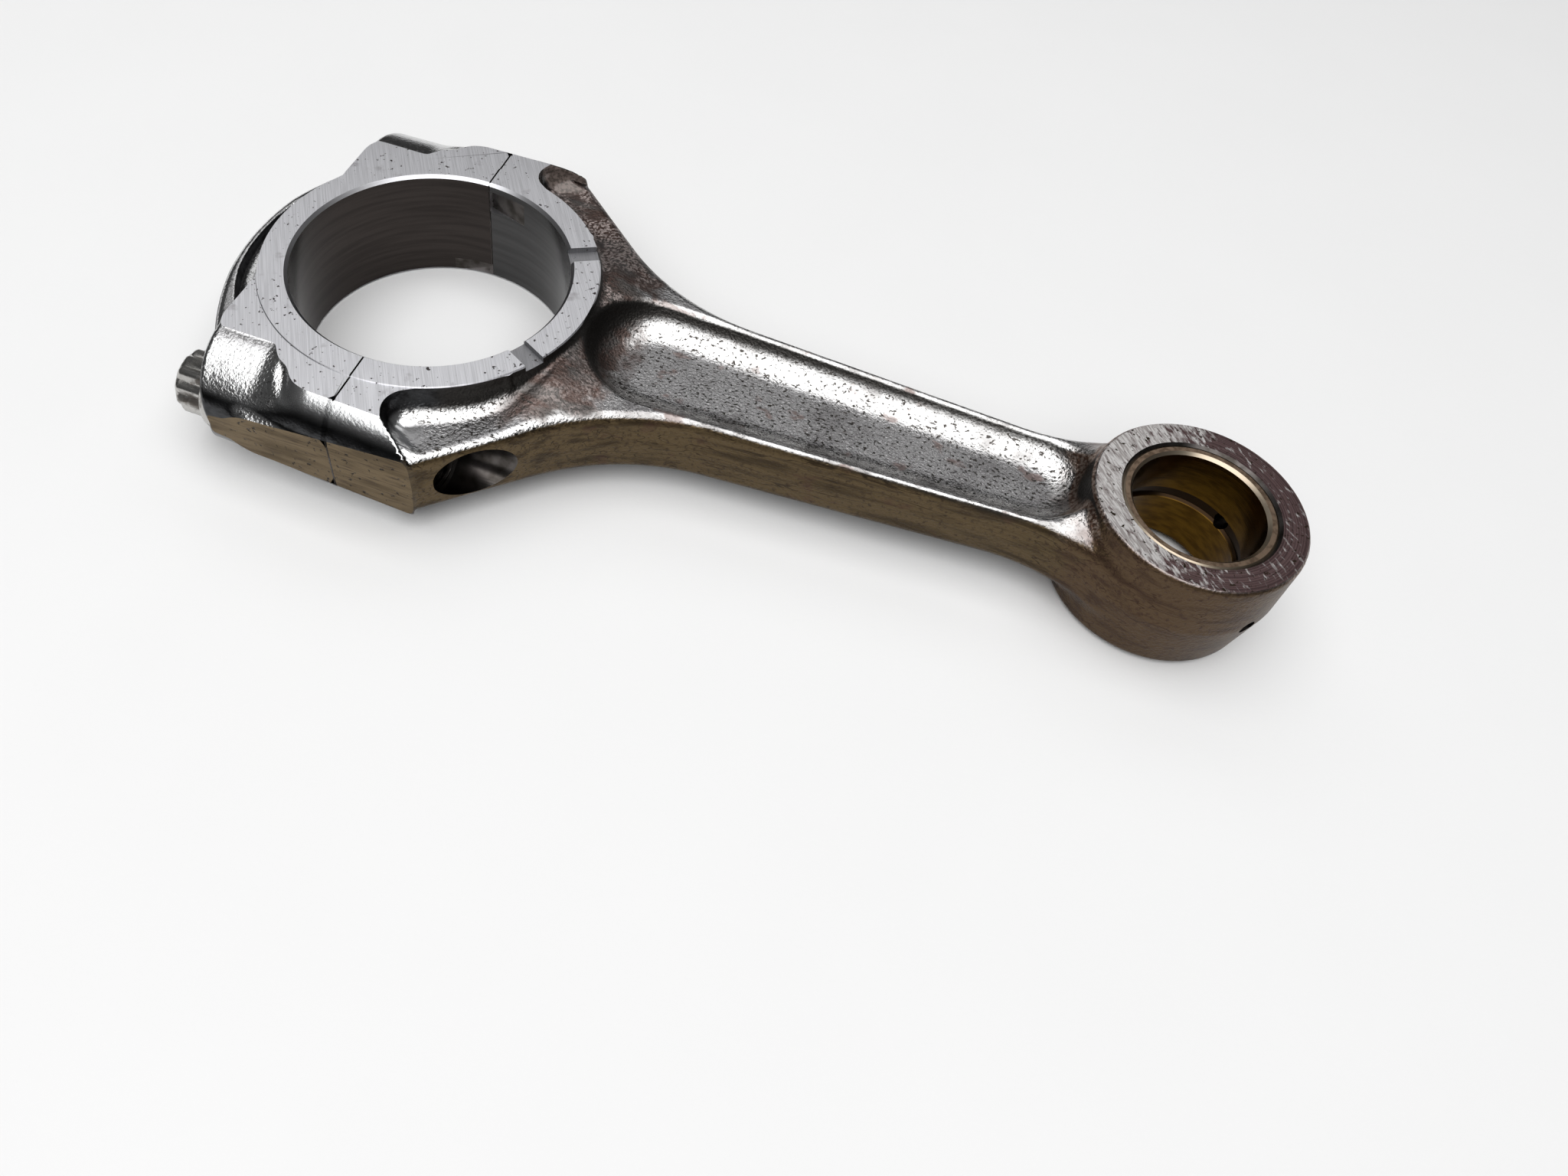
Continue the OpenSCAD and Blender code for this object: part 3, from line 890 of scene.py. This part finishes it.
def lathe(name, profile, material, segments=96, centre=(0, 0, 0), axis="Z"):
    """A closed solid turned from (radius, height) points; a point at radius 0 lies on the axis."""
    points = []
    rings = []
    for radius, height in profile:
        count = segments if radius else 1
        rings.append(range(len(points), len(points) + count))
        for n in range(count):
            angle = 2 * pi * n / segments
            points.append((radius * cos(angle), radius * sin(angle), height))
    faces = []
    closed = profile[0][0] != 0
    pairs = list(zip(rings, rings[1:])) + ([(rings[-1], rings[0])] if closed else [])
    for low, high in pairs:
        for n in range(segments):
            m = (n + 1) % segments
            corners = [low[n % len(low)], low[m % len(low)], high[m % len(high)], high[n % len(high)]]
            face = list(dict.fromkeys(corners))
            if len(face) > 2:
                faces.append(face)
    points = np.array(points, float)
    if axis == "X":
        points = points[:, [2, 0, 1]]
    return make_object(name, points + np.array(centre), faces, material)


def mirrored(upper):
    """A profile that is the same on both sides of height 0, from its upper half."""
    return [(radius, -height) for radius, height in reversed(upper)] + upper


def loft(name, rings, material, centre=(0, 0, 0)):
    """A closed solid through rings of equally many points, with flat ends."""
    size = len(rings[0])
    points = [p for ring in rings for p in ring]
    faces = []
    last = size * (len(rings) - 1)
    for start in range(0, last, size):
        for m in range(size):
            k = (m + 1) % size
            faces.append((start + m, start + k, start + size + k, start + size + m))
    faces += [range(size)[::-1], range(last, last + size)]
    return make_object(name, np.array(points) + np.array(centre), faces, material)


def prism(name, outline, low, high, material, second, second_faces):
    """A plan outline, anticlockwise, raised between two heights, with a second material on some faces."""
    raised = loft(name, [[(x, y, z) for x, y in outline] for z in (low, high)], material)
    raised.data.materials.append(second)
    for n in second_faces:
        raised.data.polygons[n].material_index = 1
    return raised


def block(name, corner, opposite, material, turn=0.0, sides=None):
    """A box between two corners, turned about Z. sides: material of its Y faces."""
    low, high = np.sort((corner, opposite), axis=0)
    c, s = cos(turn), sin(turn)
    corners = ((low[0], low[1]), (high[0], low[1]), (high[0], high[1]), (low[0], high[1]))
    outline = [(c * x - s * y, s * x + c * y) for x, y in corners]
    return prism(name, outline, low[2], high[2], material, sides or material, (0, 2))


def combine(target, tool, operation):
    """Applies a boolean to target and removes the tool."""
    modifier = target.modifiers.new("combine", "BOOLEAN")
    modifier.operation = operation
    modifier.solver = "MANIFOLD"
    modifier.material_mode = "TRANSFER"
    modifier.object = tool
    shown = target.evaluated_get(bpy.context.evaluated_depsgraph_get())
    mesh = bpy.data.meshes.new_from_object(shown)
    target.modifiers.clear()
    old = target.data
    target.data = mesh
    mesh.name = target.name
    bpy.data.meshes.remove(old)
    bpy.data.objects.remove(tool)
    return target


def join(target, *tools):
    """Adds tools to target, one after another."""
    for tool in tools:
        combine(target, tool, "UNION")


def ring_at(x, radii):
    """A ring of points around the X direction, one for each radius."""
    step = 2 * pi / len(radii)
    return [(x, radius * cos(n * step), radius * sin(n * step)) for n, radius in enumerate(radii)]


def thread_height(x, turn):
    """Height of a helical thread, from 0 to 1, at a place along X and a share of a turn around it."""
    phase = (x / THREAD_PITCH - turn) % 1
    return min(1, max(0, 1.25 - 2.9 * abs(phase - 0.5)))


def threaded(start, end, minor, major, material, centre, segments=48):
    """A rod along X with a helical thread that fades out at both ends."""
    rows = int((end - start) / (THREAD_PITCH / 8)) + 1
    rings = []
    for x in np.linspace(start, end, rows + 1):
        depth = (major - minor) * min(1, (x - start) / THREAD_PITCH, (end - x) / THREAD_PITCH)
        rings.append(ring_at(x, [minor + depth * thread_height(x, m / segments) for m in range(segments)]))
    return loft("thread", rings, material, centre)


def machined_faces(half):
    """The solid inside which a half is machined: thrust ring, shoulder faces, side flats, parting plane."""
    edge = 0.12
    rim = mirrored([(THRUST_R, HALF_WIDTH - edge), (THRUST_R - edge, HALF_WIDTH), (0, HALF_WIDTH)])
    ring = lathe("ring", rim, machined, 240)
    shape = block("faces", (-half, -HALF_SPAN, -FACE_H), (61 * half, HALF_SPAN, FACE_H), machined,
                  sides=reflected_brown_side_flat)
    join(shape, ring)
    if half > 0:
        join(shape, block("eye_faces", (59, -30, -EYE_H), (EYE_X + 30, 30, EYE_H), eye_face))
    side = block("half", (0, -60, -20), (200 * half, 60, 20), machined)
    return combine(shape, side, "INTERSECT")


def chamfered_hole(name, radius, straight, material, segments, centre=(0, 0, 0)):
    """Tool for a hole along Z, straight up to a height on both sides and opening at 45 degrees beyond it."""
    mouth = radius + TOOL_H - straight
    profile = mirrored([(radius, straight), (mouth, TOOL_H), (0, TOOL_H)])
    return lathe(name, profile, material, segments, centre)


def big_bore():
    """Tool for the big-end bore and its chamfers."""
    return chamfered_hole("bore", BIG_R, HALF_WIDTH - BORE_CHAMFER, bored, 240)


def shoulder_groove(side):
    """Tool for the parting groove around one shoulder, with one steep and one sloping wall."""
    floor_r = SHOULDER_H - GROOVE_DEPTH
    mouth_r = SHOULDER_H + 0.15
    outside_r = SHOULDER_H + 2
    low, high = GROOVE_MOUTH
    floor_low, floor_high = GROOVE_FLOOR
    profile = [(mouth_r, low), (floor_r, floor_low), (floor_r, floor_high), (mouth_r, high),
               (outside_r, high), (outside_r, low)]
    groove = lathe("groove", profile, shaded_groove_metal, 96, axis="X")
    for vertex in groove.data.vertices:
        vertex.co.y *= SHOULDER_REACH / SHOULDER_H
        vertex.co.y += side * SHOULDER_Y * MM
    return groove


def parting_grooves(tool):
    """Adds the groove around both shoulders and the fine line across the faces to a tool."""
    for side in (1, -1):
        join(tool, shoulder_groove(side))
        for face in (1, -1):
            for start, end, height in ((BIG_R - 1, THRUST_R, HALF_WIDTH), (THRUST_R, HALF_SPAN + 1, FACE_H)):
                middle = side * (start + end) / 2
                join(tool, fine_line((0, middle, face * height), end - start, "Y"))
        join(tool, fine_line((0, side * HALF_SPAN, 0), 2 * FACE_H, "Z"),
             fine_line((0, side * BIG_R, 0), 2 * HALF_WIDTH, "Z"))
    return tool


def fine_line(centre, length, axis):
    """Tool for a fine line in a surface: a thin square bar on its edge, along Y or Z."""
    half = length / 2
    ring = [(FINE_LINE, 0), (0, FINE_LINE), (-FINE_LINE, 0), (0, -FINE_LINE)]
    if axis == "Y":
        rings = [[(a, end, b) for a, b in ring] for end in (half, -half)]
    else:
        rings = [[(a, b, end) for a, b in ring] for end in (-half, half)]
    return loft("line", rings, hole, centre)


def tang_notch(half, low, high):
    """Tool for the notch of a bearing shell's tang: deepest at the parting plane and fading out."""
    deep_y = BIG_R + NOTCH_DEPTH
    end_y = sqrt(BIG_R ** 2 - NOTCH_LENGTH ** 2)
    middle = (NOTCH_LENGTH / 2, (deep_y + end_y) / 2)
    outline = [(-1, end_y - 1), (NOTCH_LENGTH, end_y - 1), (NOTCH_LENGTH, end_y), middle,
               (0, deep_y), (-1, deep_y)]
    if half < 0:
        outline = [(-x, y) for x, y in reversed(outline)]
    ends = (len(outline), len(outline) + 1)
    return prism("notch", outline, low, high, hole, machined, ends)


def add_bolt_hole(tool, at):
    """Adds one bolt's hole in the rod: the dowel's seat, the thread and the open end."""
    dowel = [(0, -2), (SLEEVE_R, -2), (SLEEVE_R, SLEEVE_END), (0, SLEEVE_END)]
    way_out = [(0, EXIT_X), (BOLT_R, EXIT_X), (EXIT_R, EXIT_X + 0.8), (EXIT_R, 48), (0, 48)]
    join(tool, lathe("dowel", dowel, hole, 64, at, "X"),
         threaded(SLEEVE_END - 1, EXIT_X + 1, BOLT_R + 0.06, BOLT_R + 0.45, hole, at),
         lathe("exit", way_out, hole, 64, at, "X"))


def add_oil_slots(tool, side):
    """Adds the slots across the thrust ring's two faces, on one side of the beam."""
    for face in (1, -1):
        corner = (BIG_R - 1, -OIL_SLOT_HALF, face * (HALF_WIDTH - OIL_SLOT_DEPTH))
        opposite = (THRUST_R + 2, OIL_SLOT_HALF, face * (HALF_WIDTH + 2))
        join(tool, block("slot", corner, opposite, shaded_groove_metal, side * OIL_SLOT_ANGLE))


def oil_holes(inner, outer):
    """Tools for the small end's two oil holes, between two radii from the pin's axis."""
    drills = []
    for turn in (-OIL_HOLE_ANGLE, OIL_HOLE_ANGLE):
        profile = [(0, inner), (OIL_HOLE_R, inner), (OIL_HOLE_R, outer), (0, outer)]
        drill = lathe("oil", profile, hole, 32, axis="X")
        drill.data.transform(Matrix.Translation((EYE_X * MM, 0, 0)) @ Matrix.Rotation(turn, 4, "Z"))
        drills.append(drill)
    return drills


def rod_holes():
    """Everything cut from the rod: bore, bolt holes, slots, notch, bush seat and oil holes."""
    tool = big_bore()
    for side in (1, -1):
        add_bolt_hole(tool, (0, side * BOLT_Y, 0))
        add_oil_slots(tool, side)
    seat = chamfered_hole("seat", BUSH_R, EYE_H - EYE_CHAMFER, hole, 128, (EYE_X, 0, 0))
    join(seat, *oil_holes(BUSH_R - 1, EYE_R + 1))
    join(tool, tang_notch(1, *ROD_NOTCH), seat)
    return parting_grooves(tool)


def cap_holes():
    """Everything cut from the cap: bore, bolt holes, bolt seats, dowel seats and notch."""
    shank = BOLT_R + 0.2
    dowel_r = SLEEVE_R + DOWEL_GAP
    dowel_end = -SLEEVE_END - DOWEL_GAP
    steps = [(0, -40), (SPOT_FACE_R, -40), (SPOT_FACE_R, SEAT_X), (shank, SEAT_X), (shank, dowel_end),
             (dowel_r, dowel_end), (dowel_r, 2), (0, 2)]
    tool = big_bore()
    for side in (1, -1):
        join(tool, lathe("bolt_hole", steps, machined, 72, (0, side * BOLT_Y, 0), "X"))
    join(tool, tang_notch(-1, *CAP_NOTCH))
    return parting_grooves(tool)


rod = forging("rod_forging", rod_field, -1.6, EYE_X + EYE_R + 1.2)
combine(rod, machined_faces(1), "INTERSECT")
combine(rod, rod_holes(), "DIFFERENCE")
cap = forging("cap_forging", cap_field, -CROWN_R - 1.2, 1.6)
combine(cap, machined_faces(-1), "INTERSECT")
combine(cap, cap_holes(), "DIFFERENCE")


def read(items, attribute, kind=np.int32, width=1):
    """One attribute of all items of a mesh collection."""
    values = np.empty(len(items) * width, kind)
    items.foreach_get(attribute, values)
    return values


def sharpen_borders(mesh, corner_kind):
    """Marks the edges where two materials meet as sharp."""
    corner_edge = read(mesh.loops, "edge_index")
    lowest = np.full(len(mesh.edges), corner_kind.max())
    highest = np.full(len(mesh.edges), corner_kind.min())
    np.minimum.at(lowest, corner_edge, corner_kind)
    np.maximum.at(highest, corner_edge, corner_kind)
    sharp = read(mesh.edges, "use_edge_sharp", bool)
    mesh.edges.foreach_set("use_edge_sharp", sharp | (lowest != highest))


def use_field_normals(mesh, field):
    """Gives forged faces the field's own normals, with a crisp edge where another material starts."""
    corner_kind = np.repeat(read(mesh.polygons, "material_index"), read(mesh.polygons, "loop_total"))
    sharpen_borders(mesh, corner_kind)
    normal, _ = gradient(field, read(mesh.vertices, "co", float, 3).reshape(-1, 3) / MM)
    is_forged = corner_kind == mesh.materials.find(forged.name)
    corner_vertex = read(mesh.loops, "vertex_index")
    mesh.normals_split_custom_set(np.where(is_forged[:, None], normal[corner_vertex], 0.0))


def smooth(obj, crease, field=None):
    """Smooth shading, sharp where faces meet at more than crease degrees."""
    mesh = obj.data
    mesh.polygons.foreach_set("use_smooth", [True] * len(mesh.polygons))
    mesh.set_sharp_from_angle(angle=radians(crease))
    if field:
        use_field_normals(mesh, field)


smooth(rod, 32, rod_field)
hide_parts("rod_body")
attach(rod, "rod")
smooth(cap, 32, cap_field)
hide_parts("big_end_cap")
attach(cap, "cap")


# ------------------------ bolts, bush and sleeves

def star_ring(radius_out, radius_in, x, tips=12, per_tip=6):
    """One ring of a twelve-point outline with soft tips and roots."""
    waves = [0.5 + 0.5 * cos(2 * pi * n / per_tip) for n in range(tips * per_tip)]
    return ring_at(x, [radius_in + (radius_out - radius_in) * wave ** 0.8 for wave in waves])


def bolt_head(name, at):
    """Twelve-point head with a dished end, standing on the collar."""
    dish = [(3.1, 3.1, HEAD_END + 0.5), (3.5, 3.5, HEAD_END)]
    sides = [(4.35, 4.25, HEAD_END), (4.85, 4.4, HEAD_END + 0.35),
             (HEAD_R, HEAD_ROOT_R, HEAD_END + 0.8), (HEAD_R, HEAD_ROOT_R, COLLAR_X - 0.45)]
    foot = [(HEAD_R + 0.1, 4.95, COLLAR_X + 0.02), (3, 3, COLLAR_X + 0.05)]
    return loft(name, [star_ring(*row) for row in dish + sides + foot], bolt_metal, at)


def cap_bolt(name, at):
    """Twelve-point bolt: head, collar, plain waist and threaded end."""
    waist_r = BOLT_R - 0.1
    profile = [(0, COLLAR_X), (5.55, COLLAR_X), (6.0, COLLAR_X + 0.35), (COLLAR_R, COLLAR_X + 1.0),
               (COLLAR_R, SEAT_X - 0.25), (COLLAR_R - 0.25, SEAT_X), (waist_r, SEAT_X),
               (waist_r, -8), (THREAD_ROOT_R, -7), (THREAD_ROOT_R, 1), (0, 1)]
    bolt = bolt_head("bolt_" + name, at)
    join(bolt, lathe("collar", profile, bolt_metal, 96, at, "X"),
         threaded(0, BOLT_TIP, THREAD_ROOT_R, BOLT_R, bolt_metal, at))
    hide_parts("cap_bolt_" + name)
    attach(bolt, "bolt_" + name)
    return bolt


def bush():
    """Small-end bush with chamfered ends, an oil groove inside and two oil holes."""
    groove_r = PIN_R + 0.5
    profile = mirrored([(BUSH_R, BUSH_H - 0.3), (BUSH_R - 0.3, BUSH_H), (PIN_R + 0.45, BUSH_H),
                        (PIN_R, BUSH_H - 0.45), (PIN_R, 1.2), (groove_r, 0.8)])
    obj = lathe("bush", profile, bush_metal, 160, (EYE_X, 0, 0))
    for drill in oil_holes(PIN_R - 1, BUSH_R + 1):
        combine(obj, drill, "DIFFERENCE")
    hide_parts("small_end_bush")
    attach(obj, "rod")
    return obj


def sleeve(name, at):
    """Hollow dowel around a bolt, with chamfered ends."""
    wall = BOLT_R + 0.2
    end = SLEEVE_END
    profile = mirrored([(SLEEVE_R, end - 0.5), (SLEEVE_R - 0.3, end), (wall + 0.2, end), (wall, end - 0.3)])
    obj = lathe("sleeve_" + name, profile, dowel_metal, 72, at, "X")
    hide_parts("dowel_sleeve_" + name)
    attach(obj, "rod")
    return obj


for make_piece in (cap_bolt, sleeve):
    for name, side in (("left", 1), ("right", -1)):
        smooth(make_piece(name, (0, side * BOLT_Y, 0)), 35)
smooth(bush(), 35)


# ------------------------ camera, floor and lights
CAMERA_PLACE = Vector((70.35, -123.61, 129.62)) * MM
AZIMUTH = radians(-12.6)
ELEVATION = radians(55.4)
ROLL = radians(8.2)
LENS = 25.03
SHIFT = (0.0864, -0.0107)
FLOOR_HALF = 3000


def make_camera():
    """Camera at the viewing angle, three-quarter from above with a slight roll."""
    data = bpy.data.cameras.new("camera")
    data.sensor_width = 36
    data.lens = LENS
    data.shift_x, data.shift_y = SHIFT
    data.clip_start = 0.01
    camera = bpy.data.objects.new("camera", data)
    pose = Matrix.Translation(CAMERA_PLACE)
    for angle, axis in ((-AZIMUTH, "Z"), (pi / 2 - ELEVATION, "X"), (ROLL, "Z")):
        pose = pose @ Matrix.Rotation(angle, 4, axis)
    camera.matrix_world = pose
    scene.collection.objects.link(camera)
    scene.camera = camera


def area_light(name, place, target, width, height, power):
    """A soft rectangular light that points at target."""
    data = bpy.data.lights.new(name, "AREA")
    data.shape = "RECTANGLE"
    data.size = width
    data.size_y = height
    data.energy = power
    light = bpy.data.objects.new(name, data)
    light.location = place
    light.rotation_euler = (Vector(target) - Vector(place)).to_track_quat("-Z", "Y").to_euler()
    scene.collection.objects.link(light)


def make_floor():
    """Large flat floor of matt off-white paper under the rod."""
    s = Shade("floor")
    s.shader.inputs["Metallic"].default_value = 0.0
    color = s.mix(s.noise(30, 3), (0.80, 0.80, 0.80), (0.82, 0.82, 0.82))
    paper = s.finish(color, 0.9, s.bump(s.noise(0.8, 2), 0.02))
    square = ((-1, -1), (1, -1), (1, 1), (-1, 1))
    corners = [(x * FLOOR_HALF, y * FLOOR_HALF, -HALF_WIDTH) for x, y in square]
    return make_object("floor", corners, [(0, 1, 2, 3)], paper)


def make_world():
    """Dim even surroundings."""
    world = bpy.data.worlds.new("world")
    scene.world = world
    world.use_nodes = True
    world.node_tree.nodes["Background"].inputs["Color"].default_value = (0.06, 0.06, 0.06, 1)


make_camera()
floor = make_floor()
make_world()
scene.view_settings.view_transform = "Standard"
area_light("overhead", (0.0, -0.53, 1.0), (0.0, -0.53, 0), width=1.5, height=1.9, power=22)
area_light("back", (-0.15, 0.9, 0.95), (0.0, 0, 0), width=1.9, height=0.5, power=2.6)
